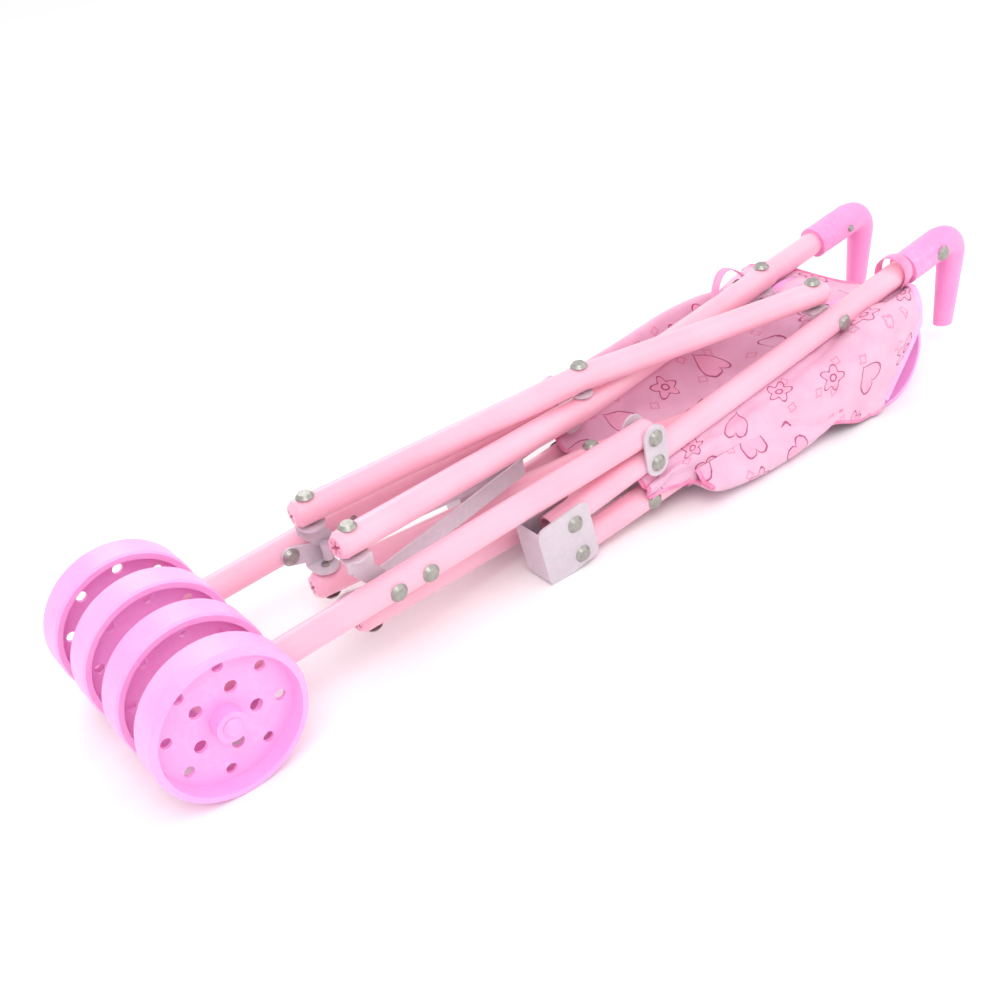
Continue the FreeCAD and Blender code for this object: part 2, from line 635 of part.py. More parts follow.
def grip(side, sign):
    """A moulded hook handle: a socket over the tube's end, a bend and a free arm that comes
    back towards the ground."""
    y = sign * OFFSET
    start = side_point(on_back(size("grip_at")), y)
    neck = side_point(on_back(size("grip_at") + size("grip_socket")), y)
    way = neck.sub(start).normalize()
    up = Vector(-way.z, 0, way.x)
    bend, overlap = size("grip_bend"), size("grip_overlap")
    fall = Vector(-ARM_LEAN, 0, -1).normalize()
    centre = neck.sub(up * bend)
    arc_mid = centre.add(way.add(up).normalize() * bend)
    arc_end = centre.add(Vector(-fall.z, 0, fall.x) * bend)
    tip = arc_end.add(fall * (size("grip_drop") - bend))
    root = neck.sub(way * overlap)
    shell = Part.BRepOffsetAPI.MakePipeShell(Part.Wire([
        Part.LineSegment(root, neck).toShape(), Part.Arc(neck, arc_mid, arc_end).toShape(),
        Part.LineSegment(arc_end, tip).toShape()]))
    shell.setFrenetMode(False)
    shell.setBiNormalMode(Y)
    shell.add(oval(root, way, ROOT_OVAL))
    shell.add(oval(tip, fall, TIP_OVAL))
    shell.build()
    shell.makeSolid()
    arm = doc.addObject("Part::Feature", "grip_arm_" + side)
    arm.Shape = shell.shape()
    arm.Placement = STANCE
    socket = rod_between(start, neck, "Sizes.tube_dia / 2 + Sizes.grip_wall", "socket_" + side)
    mouth = rod_between(start.sub(way), neck.sub(way * (size("tube_short_of_bend") - size("running_gap"))),
                        "Sizes.tube_dia / 2 + Sizes.running_gap", "grip_mouth_" + side)
    pin = drill(side_point(GRIP_PIN, y), Y, 2 * THROUGH)
    solid = join([socket, arm], "grip_solid_" + side)
    keep(cut(solid, [mouth, pin], "grip_" + side), "handle_grip_" + side)


# ---- seat --------------------------------------------------------------------------------------

def extruded(outline, half):
    """A slab of an X-Z outline that reaches from -half to +half along Y."""
    corners = [Vector(x, -half, z) for x, z in outline + outline[:1]]
    return Part.Face(Part.makePolygon(corners)).extrude(Y * (2 * half))


def seat():
    """The cloth sling as a plain open trough: a wall outside each back tube and a floor that
    passes under both front legs."""
    half, cloth = size("seat_half"), size("seat_cloth")
    start, end = size("seat_floor_start"), size("seat_floor_end")
    front, back = size("seat_front_floor"), size("seat_back_floor")
    room_start, room_end, room_top, room_low = 250, 480, 30, -90
    outline = [(258, -10), (452, 7), (464, -4), (413, back), (end, back), (start, front), (258, -28)]
    room = [(room_start, room_top), (room_end, room_top), (room_end, room_low), (end, room_low),
            (end, back + cloth), (start, front + cloth), (start, room_low), (room_start, room_low)]
    trough = doc.addObject("Part::Feature", "seat_trough")
    trough.Shape = extruded(outline, half).cut(extruded(room, half - cloth))
    trough.Placement = STANCE
    keep(trough, "seat_sling")


# ---- assembly ------------------------------------------------------------------------------------

for side, sign in SIDES.items():
    back_tube(side, sign)
    rear_leg(side, sign)
    front_leg(side, sign)
    link_straps(side, sign)
    knee_strap(side, sign)
    tab("top_tab_" + side, sign, TOP_PIN, TOP_EAR, 1, UPPER_TILT)
    tab("upper_foot_tab_" + side, sign, FOOT_PIN, FOOT_EAR, 1, UPPER_TILT, layer=1, pin_hole=False)
    tab("rear_leg_tab_" + side, sign, LOWER_PIN, LOWER_EAR, -1, LOWER_TILT)
    tab("front_leg_tab_" + side, sign, NOSE_PIN, NOSE_EAR, -1, LOWER_TILT, pin_hole=False,
        reach="nose_ear_offset")
    side_rivets("back_tube_rivets_" + side, sign,
                [(KNEE_BACK, "plate"), (LINK_BACK, "plate"), (TOP_PIN, "tab"), (GRIP_PIN, "grip")])
    side_rivets("rear_leg_rivets_" + side, sign,
                [(LINK_LEG, "plate"), (FOOT_PIN, "flush"), (REAR_BARE_PIN, "flush"), (LOWER_PIN, "blind")])
    side_rivets("front_leg_rivets_" + side, sign,
                [(KNEE_FRONT, "plate"), (BARE_PIN, "bare"), (NOSE_PIN, "flush")])
    wheel_pair("rear", side, sign, REAR_AXLE, "rear_wheel_dia", "rear_rim_width")
    wheel_pair("front", side, sign, FRONT_AXLE, "front_wheel_dia", "front_rim_width")
    strap_half(side, sign)
    grip(side, sign)
crossed_pair("upper", FOOT_EAR, TOP_EAR, 1, "ear_offset")
crossed_pair("lower", LOWER_EAR, NOSE_EAR, -1, "nose_ear_offset")
seat()
doc.recompute()

# ---- checks and export ---------------------------------------------------------------------------

for obj in doc.Objects:
    if "Invalid" in obj.State or "Error" in obj.State:
        raise RuntimeError("%s failed: %s" % (obj.Label, obj.State))
os.makedirs("parts", exist_ok=True)
for obj in PARTS:
    shape = obj.Shape
    if shape.isNull() or not shape.isValid():
        raise RuntimeError("%s has no valid shape" % obj.Label)
    shape.exportStep("parts/%s.step" % obj.Label)
print("%d parts written" % len(PARTS))
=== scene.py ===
import json
import math

import bpy
import numpy as np
from mathutils import Matrix, Vector


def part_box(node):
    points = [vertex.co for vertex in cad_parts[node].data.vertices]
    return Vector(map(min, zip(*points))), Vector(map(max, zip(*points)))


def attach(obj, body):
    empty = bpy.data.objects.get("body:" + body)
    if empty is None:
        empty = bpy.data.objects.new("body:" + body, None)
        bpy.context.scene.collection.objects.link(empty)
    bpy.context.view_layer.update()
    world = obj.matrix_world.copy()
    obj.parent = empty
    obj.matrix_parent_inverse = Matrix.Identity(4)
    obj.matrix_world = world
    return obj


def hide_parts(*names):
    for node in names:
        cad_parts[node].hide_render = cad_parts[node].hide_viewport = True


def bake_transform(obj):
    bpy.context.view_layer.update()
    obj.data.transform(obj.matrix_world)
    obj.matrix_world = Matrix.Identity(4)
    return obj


# Looks of a folding doll stroller that lies folded on its wheels.  Metres.
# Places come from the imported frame: the leg frame has its origin on the rear axle and its
# X axis along the rear legs, and its lengths are given in millimetres.

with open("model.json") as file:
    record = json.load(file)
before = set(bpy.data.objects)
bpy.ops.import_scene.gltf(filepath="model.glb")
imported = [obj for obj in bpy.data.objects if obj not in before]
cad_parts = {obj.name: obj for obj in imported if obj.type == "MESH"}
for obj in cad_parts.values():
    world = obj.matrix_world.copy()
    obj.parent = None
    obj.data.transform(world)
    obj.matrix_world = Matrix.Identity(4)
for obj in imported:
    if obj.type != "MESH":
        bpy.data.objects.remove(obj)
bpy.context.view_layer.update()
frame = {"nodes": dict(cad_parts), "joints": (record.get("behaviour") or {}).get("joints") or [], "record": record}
MM = 0.001
JOINT_AT = {j["name"]: Vector(j.get("pos_m", (0, 0, 0))) for j in frame["joints"]}
SIDES = {"right": -1, "left": 1}


def flat(point):
    """The point's X and Z, with Y left out."""
    return Vector((point.x, 0, point.z))


def middle(node):
    """The middle of a node's box."""
    low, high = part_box(node)
    return (low + high) / 2


AXLE = flat(middle("rear_axle_right"))
LEG_WAY = (flat(JOINT_AT["rear_leg_swing_right"]) - AXLE).normalized()
LEG_UP = Vector((-LEG_WAY.z, 0, LEG_WAY.x))
TRACK = abs(JOINT_AT["link_turn_right"].y)
TUBE = 7.25 * MM  # radius of every tube


def leg(x, y, z):
    """A point of the leg frame, given in millimetres."""
    return AXLE + LEG_WAY * (x * MM) + LEG_UP * (z * MM) + Vector((0, y * MM, 0))


KNEE = flat(JOINT_AT["knee_turn_right"])
TOP = flat(JOINT_AT["top_tab_turn_right"])
BACK_WAY = (TOP - KNEE).normalized()
BACK_UP = Vector((-BACK_WAY.z, 0, BACK_WAY.x))


def on_back(x):
    """The back tubes' centre line at a distance x along the leg frame, in millimetres."""
    goal = leg(x, 0, 0)
    run = (goal - KNEE).dot(LEG_WAY) / BACK_WAY.dot(LEG_WAY)
    return KNEE + BACK_WAY * run


# ---- materials ---------------------------------------------------------------------------

class Graph:
    """A material's node tree, with short calls for the nodes used here."""

    def __init__(self, name):
        self.material = bpy.data.materials.new(name)
        self.material.use_nodes = True
        self.tree = self.material.node_tree
        self.shader = self.tree.nodes["Principled BSDF"]

    def node(self, kind, **settings):
        made = self.tree.nodes.new(kind)
        for key, value in settings.items():
            setattr(made, key, value)
        return made

    def put(self, socket, value):
        if isinstance(value, bpy.types.NodeSocket):
            self.tree.links.new(value, socket)
        else:
            socket.default_value = value

    def math(self, operation, a, b=0.0, clamp=False):
        made = self.node("ShaderNodeMath", operation=operation, use_clamp=clamp)
        for socket, value in zip(made.inputs, (a, b)):
            self.put(socket, value)
        return made.outputs[0]

    def scaled(self, value, share, base=0.0):
        """The value times a share, plus a base."""
        return self.math("ADD", self.math("MULTIPLY", value, share), base)

    def vector(self, operation, a, b=(0, 0, 0), scale=1.0):
        made = self.node("ShaderNodeVectorMath", operation=operation)
        for socket, value in zip(made.inputs, (a, b)):
            self.put(socket, value)
        if operation == "SCALE":
            self.put(made.inputs["Scale"], scale)
        return made.outputs["Vector"]

    def blend(self, share, a, b):
        """Colour a at a share of 0, and colour b at 1."""
        made = self.node("ShaderNodeMix", data_type="RGBA")
        for socket, value in ((0, share), (6, a), (7, b)):  # the node's factor and two colours
            self.put(made.inputs[socket], value)
        return made.outputs[2]

    def ramp(self, value, low, high):
        """0 below low and 1 above high, smooth in between."""
        made = self.node("ShaderNodeMapRange", interpolation_type="SMOOTHSTEP")
        for socket, number in zip(made.inputs, (value, low, high)):
            self.put(socket, number)
        return made.outputs[0]

    def place(self):
        return self.node("ShaderNodeTexCoord").outputs["Object"]

    def noise(self, scale, detail=3.0, where=None, rough=0.5):
        made = self.node("ShaderNodeTexNoise")
        self.put(made.inputs["Vector"], where or self.place())
        made.inputs["Scale"].default_value = scale
        made.inputs["Detail"].default_value = detail
        made.inputs["Roughness"].default_value = rough
        return made.outputs["Fac"]

    def bump(self, height, strength, distance):
        made = self.node("ShaderNodeBump")
        made.inputs["Strength"].default_value = strength
        made.inputs["Distance"].default_value = distance
        self.put(made.inputs["Height"], height)
        self.put(self.shader.inputs["Normal"], made.outputs["Normal"])

    def set(self, **values):
        """Sets the shader's sockets, named with _ for each space."""
        for key, value in values.items():
            self.put(self.shader.inputs[key.replace("_", " ")], value)


def colour(red, green, blue):
    """A colour given as 0 to 255 display values."""
    return tuple((c / 255) ** 2.2 for c in (red, green, blue)) + (1.0,)


GRAIN = 0.4 * MM  # depth of the bump on tubes, mouldings and rivets
NAP = 0.3 * MM  # depth of the bump on cloth
CLOTH_GLOW = (0.004, 0.002, 0.003)


def worn_edges(g):
    """A mask that is 1 on raised edges, broken up into patches."""
    raised = g.ramp(g.node("ShaderNodeNewGeometry").outputs["Pointiness"], 0.54, 0.64)
    return g.math("MULTIPLY", raised, g.ramp(g.noise(300, 5), 0.45, 0.62))


def tube_paint():
    """Glossy paint with a slight orange peel and a few fine chips."""
    g = Graph("tube_paint")
    shade = g.ramp(g.noise(22, 2), 0.3, 0.7)
    paint = g.blend(shade, colour(248, 178, 199), colour(251, 188, 208))
    chips = g.ramp(g.noise(950, 6, rough=0.7), 0.69, 0.74)
    paint = g.blend(g.scaled(chips, 0.35), paint, colour(214, 140, 165))
    g.set(Base_Color=paint, Roughness=g.scaled(g.noise(160, 4), 0.16, 0.24), Coat_Weight=0.35,
          Coat_Roughness=0.12, Subsurface_Weight=0.06, Subsurface_Radius=(0.004, 0.002, 0.002))
    peel = g.scaled(g.noise(140, 3), 1.4, g.noise(900, 2))
    g.bump(peel, 0.16, GRAIN)
    return g.material


def moulded(name, deep, pale, rough, glow):
    """Moulded, slightly see-through plastic: cloudy colour, flow marks and fine grain."""
    g = Graph(name)
    cloud = g.ramp(g.noise(30, 3), 0.25, 0.75)
    base = g.blend(cloud, deep, pale)
    base = g.blend(g.scaled(worn_edges(g), 0.16), base, colour(255, 215, 242))
    flow = g.noise(1.0, 2.0, g.vector("MULTIPLY", g.place(), (60, 420, 60)))
    g.set(Base_Color=base, Roughness=g.scaled(g.noise(240, 4), 0.2, rough), Coat_Weight=0.12,
          Coat_Roughness=0.2, Subsurface_Weight=glow, Subsurface_Radius=(0.008, 0.004, 0.006))
    g.bump(g.scaled(g.noise(1600, 2), 0.5, flow), 0.12, GRAIN)
    return g.material


def rivet_metal():
    """Dull plated steel with faint turned marks and small dents."""
    g = Graph("rivet_metal")
    tone = g.blend(g.noise(420, 5), colour(140, 138, 132), colour(190, 188, 182))
    spin = g.noise(2600, 2, g.vector("MULTIPLY", g.place(), (1, 0.2, 1)))
    g.set(Base_Color=tone, Metallic=0.9, Roughness=g.scaled(spin, 0.3, 0.25))
    g.bump(g.scaled(g.noise(380, 2), 2.0, g.noise(1400, 3)), 0.25, GRAIN)
    return g.material


def weave(g, uv, pitch):
    """Height of a plain weave: crossing threads a pitch apart, in metres."""
    turns = g.vector("SCALE", uv, scale=math.pi / pitch)
    split = g.node("ShaderNodeSeparateXYZ")
    g.put(split.inputs[0], turns)
    along = g.math("ABSOLUTE", g.math("SINE", split.outputs[0]))
    across = g.math("ABSOLUTE", g.math("SINE", split.outputs[1]))
    return g.math("ADD", along, across)


def line_at(g, distance, half, soft):
    """1 on a drawn line, where the distance from it is under half its width."""
    off = g.math("ABSOLUTE", distance)
    return g.math("SUBTRACT", 1.0, g.ramp(off, half, half + soft))


def length(g, x, y):
    """Length of the vector (x, y)."""
    return g.math("SQRT", g.math("ADD", g.math("MULTIPLY", x, x), g.math("MULTIPLY", y, y)))


def motif_cells(g, uv, cell, shift):
    """Splits the cloth into square cells, each with its own turn and offset: the place within
    the cell as x and y, and a number from 0 to 1 that picks the cell's motif."""
    scaled = g.vector("ADD", g.vector("SCALE", uv, scale=1 / cell), (shift, shift * 1.7, 0))
    number = g.vector("FLOOR", scaled)
    local = g.vector("SUBTRACT", g.vector("FRACTION", scaled), (0.5, 0.5, 0))
    chance = g.node("ShaderNodeTexWhiteNoise", noise_dimensions="2D")
    g.put(chance.inputs["Vector"], number)
    offset = g.vector("SCALE", g.vector("SUBTRACT", chance.outputs["Color"], (0.5, 0.5, 0.5)), scale=0.3)
    turn = g.node("ShaderNodeVectorRotate", rotation_type="Z_AXIS")
    g.put(turn.inputs["Vector"], g.vector("SUBTRACT", local, offset))
    g.put(turn.inputs["Angle"], g.math("MULTIPLY", chance.outputs["Value"], 2 * math.pi))
    split = g.node("ShaderNodeSeparateXYZ")
    g.put(split.inputs[0], turn.outputs[0])
    pick = g.math("FRACT", g.math("MULTIPLY", chance.outputs["Value"], 7.31))
    return split.outputs[0], split.outputs[1], pick


def heart(g, x, y, reach):
    """Signed distance, roughly, from a heart's outline."""
    dip = g.math("MULTIPLY", g.math("SQRT", g.math("ABSOLUTE", x)), 0.42)
    return g.math("SUBTRACT", length(g, x, g.math("SUBTRACT", y, dip)), reach)


def blossom(g, x, y, reach, petals, depth):
    """Signed distance, roughly, from a flower's outline with that many petals."""
    angle = g.math("ARCTAN2", y, x)
    wave = g.math("COSINE", g.math("MULTIPLY", angle, petals))
    return g.math("SUBTRACT", length(g, x, y), g.scaled(wave, depth, reach))


def drop(g, x, y, reach):
    """Signed distance, roughly, from a drop's outline."""
    pinch = g.math("MAXIMUM", g.scaled(y, 2.6, 1.0), 0.35)
    return g.math("SUBTRACT", length(g, g.math("MULTIPLY", x, pinch), y), reach)


MOTIF_CELL, SMALL_CELL = 34 * MM, 17 * MM
HEART_SHARE, DROP_SHARE, SMALL_SHARE = 0.42, 0.22, 0.5  # shares of the cells


def drawn(g, uv):
    """Masks of the print: dark outlines, pink fillings and small pale blossoms.  Sizes are
    shares of a cell."""
    x, y, pick = motif_cells(g, uv, MOTIF_CELL, 0.37)
    wobble = g.math("MULTIPLY", g.math("SUBTRACT", g.noise(260, 2, uv), 0.5), 0.05)
    hearts = g.math("ADD", heart(g, x, y, 0.24), wobble)
    flowers = g.math("ADD", blossom(g, x, y, 0.19, 5.0, 0.05), wobble)
    eyes = blossom(g, x, y, 0.06, 5.0, 0.0)
    drops = g.math("ADD", drop(g, x, y, 0.2), wobble)
    is_heart = g.math("LESS_THAN", pick, HEART_SHARE)
    is_drop = g.math("GREATER_THAN", pick, 1.0 - DROP_SHARE)
    is_flower = g.math("SUBTRACT", g.math("SUBTRACT", 1.0, is_heart), is_drop)
    lines = 0.0
    for shape, shown in ((hearts, is_heart), (flowers, is_flower), (eyes, is_flower), (drops, is_drop)):
        line = line_at(g, shape, 0.007, 0.014)
        lines = g.math("ADD", lines, g.math("MULTIPLY", line, shown), clamp=True)
    inside = 0.0
    for shape, shown in ((flowers, is_flower), (hearts, is_heart)):
        filled = g.ramp(g.math("MULTIPLY", shape, -1.0), 0.0, 0.02)
        inside = g.math("ADD", inside, g.math("MULTIPLY", filled, shown))
    x, y, pick = motif_cells(g, uv, SMALL_CELL, 0.81)
    small = g.math("ADD", blossom(g, x, y, 0.13, 4.0, 0.03), wobble)
    pale = g.math("MULTIPLY", line_at(g, small, 0.02, 0.03), g.math("LESS_THAN", pick, SMALL_SHARE))
    return lines, inside, pale


def printed_cloth():
    """Thin woven cloth with the print drawn on it."""
    g = Graph("printed_cloth")
    uv = g.node("ShaderNodeUVMap", uv_map="flat").outputs[0]
    lines, inside, pale = drawn(g, uv)
    ground = g.blend(g.ramp(g.noise(70, 3), 0.3, 0.7), colour(234, 180, 208), colour(243, 194, 219))
    for mask, share, tint in ((g.noise(500, 3, uv), 0.3, colour(226, 168, 200)),
                              (pale, 0.55, colour(222, 112, 156)), (inside, 0.4, colour(250, 160, 195))):
        ground = g.blend(g.scaled(mask, share), ground, tint)
    ink = g.blend(g.noise(300, 2), colour(150, 45, 95), colour(190, 70, 125))
    g.set(Base_Color=g.blend(g.scaled(lines, 0.9), ground, ink), Roughness=0.72, Sheen_Weight=0.35,
          Sheen_Roughness=0.4, Subsurface_Weight=0.12, Subsurface_Radius=CLOTH_GLOW)
    g.bump(g.scaled(g.noise(220, 4), 2.0, weave(g, uv, 0.6 * MM)), 0.3, NAP)
    return g.material


def ribbon_cloth(name, deep, pale, pitch):
    """Plain ribbed ribbon or binding."""
    g = Graph(name)
    uv = g.node("ShaderNodeUVMap", uv_map="flat").outputs[0]
    base = g.blend(g.ramp(g.noise(90, 3), 0.3, 0.7), deep, pale)
    g.set(Base_Color=base, Roughness=0.5, Sheen_Weight=0.5, Sheen_Roughness=0.3,
          Subsurface_Weight=0.1, Subsurface_Radius=CLOTH_GLOW)
    g.bump(g.scaled(g.noise(500, 3), 0.8, weave(g, uv, pitch)), 0.35, NAP)
    return g.material


MATERIALS = {
    "pink_tube": tube_paint(),
    "wheel_plastic": moulded("wheel_plastic", colour(254, 166, 226), colour(255, 178, 232), 0.3, 0.4),
    "grip_plastic": moulded("grip_plastic", colour(254, 150, 208), colour(255, 162, 214), 0.26, 0.4),
    "white_plastic": moulded("white_plastic", colour(202, 190, 199), colour(212, 201, 209), 0.35, 0.2),
    "rivet_steel": rivet_metal(),
}
CLOTH = printed_cloth()
BINDING = ribbon_cloth("pink_binding", colour(236, 130, 175), colour(250, 160, 200), 0.9 * MM)
HEM_BAND = ribbon_cloth("hem_band", colour(250, 178, 226), colour(255, 192, 236), 0.7 * MM)
RIBBON = ribbon_cloth("ribbon", colour(248, 140, 190), colour(255, 170, 210), 1.1 * MM)

SLOT_OF = {row["node"]: row["material_slot"] for row in frame["record"]["subparts"]}
for name, node in frame["nodes"].items():
    if SLOT_OF[name] in MATERIALS:
        node.data.materials.clear()
        node.data.materials.append(MATERIALS[SLOT_OF[name]])


# ---- cloth -------------------------------------------------------------------------------

def grid_mesh(name, points, material):
    """A smooth surface through a grid of points, with its flat sizes as a UV map in metres."""
    rows, columns = points.shape[:2]
    faces = [(i * columns + j, (i + 1) * columns + j, (i + 1) * columns + j + 1, i * columns + j + 1)
             for i in range(rows - 1) for j in range(columns - 1)]
    mesh = bpy.data.meshes.new(name)
    mesh.from_pydata(points.reshape(-1, 3).tolist(), [], faces)
    along = np.linalg.norm(np.diff(points, axis=0), axis=2).mean(1)
    across = np.linalg.norm(np.diff(points, axis=1), axis=2).mean(0)
    u = np.concatenate([[0], np.cumsum(along)])
    v = np.concatenate([[0], np.cumsum(across)])
    layer = mesh.uv_layers.new(name="flat")
    for loop in mesh.loops:
        i, j = divmod(loop.vertex_index, columns)
        layer.data[loop.index].uv = (u[i], v[j])
    mesh.materials.append(material)
    mesh.polygons.foreach_set("use_smooth", [True] * len(mesh.polygons))
    piece = bpy.data.objects.new(name, mesh)
    bpy.context.scene.collection.objects.link(piece)
    return piece


def get_points(mesh):
    """A mesh's points, one in each row."""
    points = np.empty(len(mesh.vertices) * 3)
    mesh.vertices.foreach_get("co", points)
    return points.reshape(-1, 3)


def set_points(piece, points):
    """Puts new points into a piece's mesh."""
    piece.data.vertices.foreach_set("co", points.reshape(-1))
    piece.data.update()


def push_out(points, start, end, radius):
    """Moves points that are inside a capsule from start to end to its surface."""
    a, b = np.array(start), np.array(end)
    run = b - a
    share = np.clip(((points - a) @ run) / (run @ run), 0, 1)
    near = a + share[..., None] * run
    off = points - near
    far = np.linalg.norm(off, axis=-1, keepdims=True)
    inside = far < radius
    return np.where(inside, near + off / np.maximum(far, 1e-6) * radius, points)


def push_from_disc(points, centre, radius, half_width):
    """Moves points inside a wheel's cylinder, whose axis is Y, out through the nearer of its
    rim and its outer face."""
    c = np.array(centre)
    off = points - c
    reach = np.hypot(off[..., 0], off[..., 2])
    outward = off[..., 1] * np.sign(c[1])
    inside = (reach < radius) & (np.abs(off[..., 1]) < half_width)
    by_face = inside & (half_width - outward < radius - reach)
    by_rim = inside & ~by_face
    scale = np.where(by_rim, radius / np.maximum(reach, 1e-6), 1.0)
    moved = points.copy()
    moved[..., 0] = c[0] + off[..., 0] * scale
    moved[..., 1] = np.where(by_face, c[1] + np.sign(c[1]) * half_width, points[..., 1])
    moved[..., 2] = c[2] + off[..., 2] * scale
    return moved


def wheel_size(node):
    """Centre, outer radius and half width of a wheel."""
    low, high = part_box(node)
    return (low + high) / 2, (high.z - low.z) / 2, (high.y - low.y) / 2


CLEAR = 1.2 * MM  # cloth to frame
GROUND_GAP = 1.0 * MM
AXLE_CAP = 2.4 * MM  # how far the axle's cap stands out of its wheel
PAST_GRIPS = 500  # a place along the leg frame, in millimetres, past the cloth's end
FRONT_KNEE = flat(JOINT_AT["front_leg_swing_right"])
FRONT_AXLE = flat(middle("front_axle_right"))
TUBE_RUNS = [(start + Vector((0, sign * TRACK, 0)), end + Vector((0, sign * TRACK, 0)))
             for sign in SIDES.values()
             for start, end in ((KNEE, on_back(PAST_GRIPS)), (FRONT_KNEE, FRONT_AXLE))]


def clear_of_frame(points):
    """Keeps the cloth off the tubes, the front wheels and the ground."""
    for start, end in TUBE_RUNS:
        points = push_out(points, start, end, TUBE + CLEAR)
    for side in SIDES:
        for tag in ("outer", "inner"):
            centre, radius, half = wheel_size(f"front_wheel_{tag}_{side}")
            points = push_from_disc(points, centre, radius + CLEAR, half + AXLE_CAP + CLEAR)
    points[..., 2] = np.maximum(points[..., 2], GROUND_GAP)
    return points


def smooth_grid(points, keep):
    """Softens a grid of points, leaving the kept ones where they are."""
    between = points.copy()
    between[1:-1] = (points[:-2] + points[2:]) / 2
    between[:, 1:-1] = (between[:, 1:-1] + (points[:, :-2] + points[:, 2:]) / 2) / 2
    return np.where(keep[..., None], points, points * 0.5 + between * 0.5)


def simulate(piece, pinned, grow, frames, cap):
    """Lets a cloth settle under gravity from its pinned rows, a little larger than its frame
    so that it folds, and moves no point further than the cap."""
    rest = get_points(piece.data)
    group = piece.vertex_groups.new(name="pinned")
    for index in np.flatnonzero(pinned.reshape(-1)):
        group.add([int(index)], 1.0, "REPLACE")
    cloth = piece.modifiers.new("cloth", "CLOTH")
    settings = cloth.settings
    settings.quality = 6
    settings.mass = 0.12
    settings.tension_stiffness = 18
    settings.compression_stiffness = 18
    settings.bending_stiffness = 0.06
    settings.shrink_min = -grow
    settings.vertex_group_mass = "pinned"
    cloth.collision_settings.use_collision = False
    cloth.point_cache.frame_start, cloth.point_cache.frame_end = 1, frames
    for number in range(1, frames + 1):
        bpy.context.scene.frame_set(number)
    seen = piece.evaluated_get(bpy.context.evaluated_depsgraph_get())
    step = get_points(seen.data) - rest
    size = np.linalg.norm(step, axis=1, keepdims=True)
    step *= np.minimum(1.0, cap / np.maximum(size, 1e-9))
    piece.modifiers.remove(cloth)
    piece.vertex_groups.clear()
    bpy.context.scene.frame_set(1)
    set_points(piece, rest + step)


def spline(stations, values, at):
    """Smooth values between stations."""
    stations, values = np.array(stations, float), np.array(values, float)
    slopes = np.gradient(values, stations)
    k = np.clip(np.searchsorted(stations, at) - 1, 0, len(stations) - 2)
    gap = stations[k + 1] - stations[k]
    s = np.clip((at - stations[k]) / gap, 0, 1)
    a, b = 2 * s ** 3 - 3 * s ** 2 + 1, s ** 3 - 2 * s ** 2 + s
    return (a * values[k] + b * gap * slopes[k] + (1 - a) * values[k + 1]
            + (s ** 3 - s ** 2) * gap * slopes[k + 1])


def profile(table, at):
    """A smooth value at a place, from a table of places and values."""
    return spline(list(table), list(table.values()), at)


def section_curve(corners, count):
    """Points spread evenly along a smooth line through (y, z) corners."""
    corners = np.array(corners, float)
    knots = np.concatenate([[0], np.cumsum(np.linalg.norm(np.diff(corners, axis=0), axis=1))])
    fine = np.linspace(0, knots[-1], 400)
    line = np.stack([spline(knots, corners[:, 0], fine), spline(knots, corners[:, 1], fine)], 1)
    run = np.concatenate([[0], np.cumsum(np.linalg.norm(np.diff(line, axis=0), axis=1))])
    even = np.linspace(0, run[-1], count)
    return np.stack([np.interp(even, run, line[:, 0]), np.interp(even, run, line[:, 1])], 1)


def tube_z(x):
    """Height of the back tubes' centre line in the leg frame, in millimetres."""
    return (on_back(x) - AXLE).dot(LEG_UP) / MM


# The seat along the leg frame, in millimetres: where it starts and how far it runs, then at
# places along it the height of the near wing's edge, how far that wing bulges to the side and
# lifts over the wheel, the height of the trough between the tubes, and of the far wing's crown.
SEAT_START, SEAT_RUN = 256, 214
WING_LOW = {255: -28, 290: -33, 323: -36, 366: -38, 413: -44, 440: -52, 470: -52}
WING_BULGE = {255: 46, 300: 51, 360: 54.5, 405: 62, 470: 62}
WING_LIFT = {255: 0, 385: 0, 410: 4, 437: 9.5, 470: 7}
TROUGH = {255: -19, 300: -25, 350: -24, 395: -19, 430: -9, 466: -12, 480: -22}
CROWN = {255: -12, 280: 1, 330: 7, 395: 8, 430: 2, 466: -3}
UNDER_TUBE = 8.6  # the cloth's line under the tubes' centre line
# How far the back hem leans, in millimetres, at shares of the way across the cloth.
HEM_LEAN = {0: -43, 0.25: -6, 0.5: 10, 0.75: -4, 1: -34}
PINNED_HALF = 3.2 * MM  # cloth this near the middle of a tube is sewn to it
MOST_SAG = 7 * MM  # the furthest that a point of the cloth settles

CLOTH_THICKNESS = 0.7 * MM

# The pan, likewise: its top edges, its gap to the ground, the rise at its ends and its folds.
PAN_START, PAN_RUN = 288, 104
PAN_TOP, PAN_TOP_DROP = -31, 4
PAN_GAP, PAN_END_RISE = 1.5, 13
PAN_FOLD = 0.9


def seat_section(x, count):
    """The seat's cross-section at one place: near wing, trough between the tubes, far wing."""
    under = tube_z(x) - UNDER_TUBE
    low, bulge, lift, sag, crown = (
        profile(table, x) for table in (WING_LOW, WING_BULGE, WING_LIFT, TROUGH, CROWN))
    return section_curve([
        (-bulge, low), (-bulge, (low + under) / 2), (-bulge + 2, under - 4 + lift),
        (-48, under + 3 + lift), (-35, under),
        (-20, (under + sag) / 2 - 1), (0, sag), (20, (under + sag) / 2 - 1), (35, under),
        (46, under + 5), (53, crown - 1), (58, crown - 6), (57, under - 8)], count)


